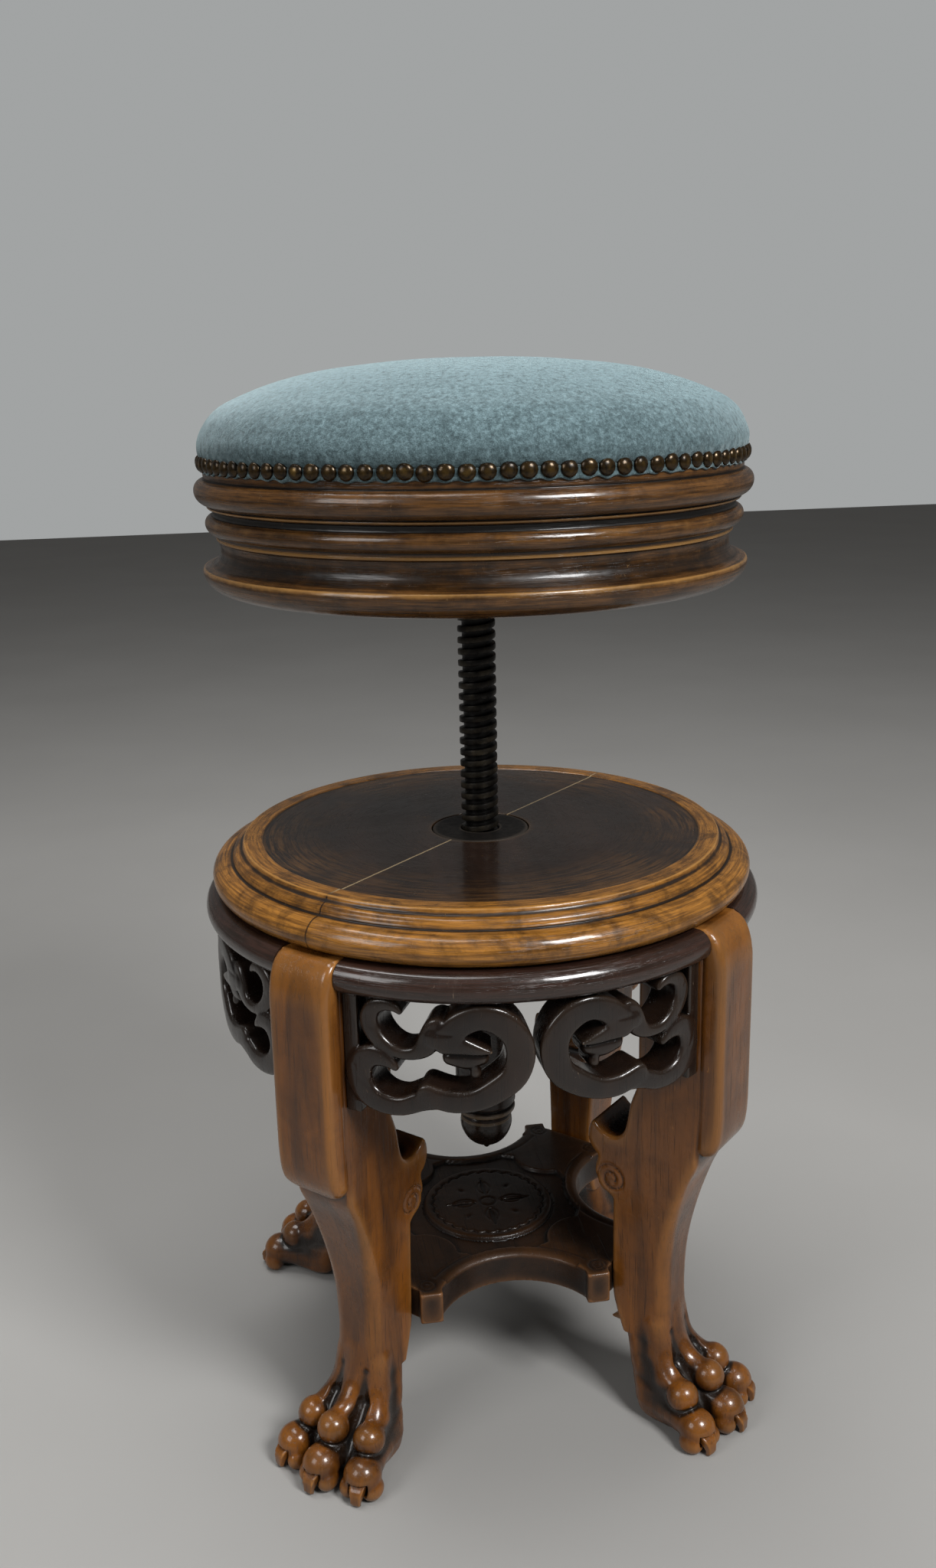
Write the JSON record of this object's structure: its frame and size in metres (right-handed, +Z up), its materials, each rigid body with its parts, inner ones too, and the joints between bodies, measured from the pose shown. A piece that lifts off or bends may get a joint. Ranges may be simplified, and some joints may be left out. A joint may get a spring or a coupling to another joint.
{
  "type": "revolving piano stool",
  "caption": "Round velvet-topped stool whose seat screws up and down in a drum base with pierced scroll aprons, lion-paw cabriole legs and a carved shelf.",
  "frame": {"origin": "on the floor, under the middle of the base, where the screw's axis meets it", "axes": "+Z up along the lifting screw, +Y to the back, +X to the right; one leg on each diagonal"},
  "size_m": [0.3696, 0.3696, 0.6955],
  "materials": {
    "velvet": "short-pile velvet, blue-grey",
    "stuffing": "horsehair and webbing",
    "nail_brass": "antiqued, rubbed on the domes",
    "worn_wood": "stained walnut, waxed, worn golden on the edges",
    "ebonised_wood": "blackened and waxed, rubbed brown on the edges",
    "screw_steel": "dark, oiled",
    "iron": "dark, worn smooth"
  },
  "bodies": {
    "base": {"top_board_left": "ebonised_wood", "top_board_right": "ebonised_wood", "screw_nut": "iron", "screw_housing": "ebonised_wood", "housing_screws": "screw_steel", "drop_finial": "ebonised_wood", "front_frieze_rail": "ebonised_wood", "right_frieze_rail": "ebonised_wood", "back_frieze_rail": "ebonised_wood", "left_frieze_rail": "ebonised_wood", "front_apron_left": "ebonised_wood", "front_apron_right": "ebonised_wood", "right_apron_left": "ebonised_wood", "right_apron_right": "ebonised_wood", "back_apron_left": "ebonised_wood", "back_apron_right": "ebonised_wood", "left_apron_left": "ebonised_wood", "left_apron_right": "ebonised_wood", "front_left_leg": "worn_wood", "front_right_leg": "worn_wood", "back_left_leg": "worn_wood", "back_right_leg": "worn_wood", "stretcher_shelf": "worn_wood"},
    "screw_stop": {"stop_washer": "screw_steel"},
    "seat": {"seat_cushion": "velvet", "seat_stuffing": "stuffing", "upholstery_nails": "nail_brass", "seat_frame": "worn_wood", "seat_board": "worn_wood", "seat_flange": "iron", "flange_screws": "screw_steel", "lift_screw": "screw_steel", "stop_bolt": "screw_steel"}
  },
  "joints": [
    {"name": "seat_rise", "type": "slide", "parent": "base", "child": "screw_stop", "axis": [0, 0, 1], "range_m": [-0.1501, 0.0121]},
    {"name": "seat_turn", "type": "hinge", "parent": "screw_stop", "child": "seat", "pos_m": [0, 0, 0.558], "axis": [0, 0, 1], "range_deg": [-7200, 576]}
  ],
  "couplings": [
    {"joint": "seat_rise", "follows": "seat_turn", "m_per_rad": 0.0011937}
  ]
}
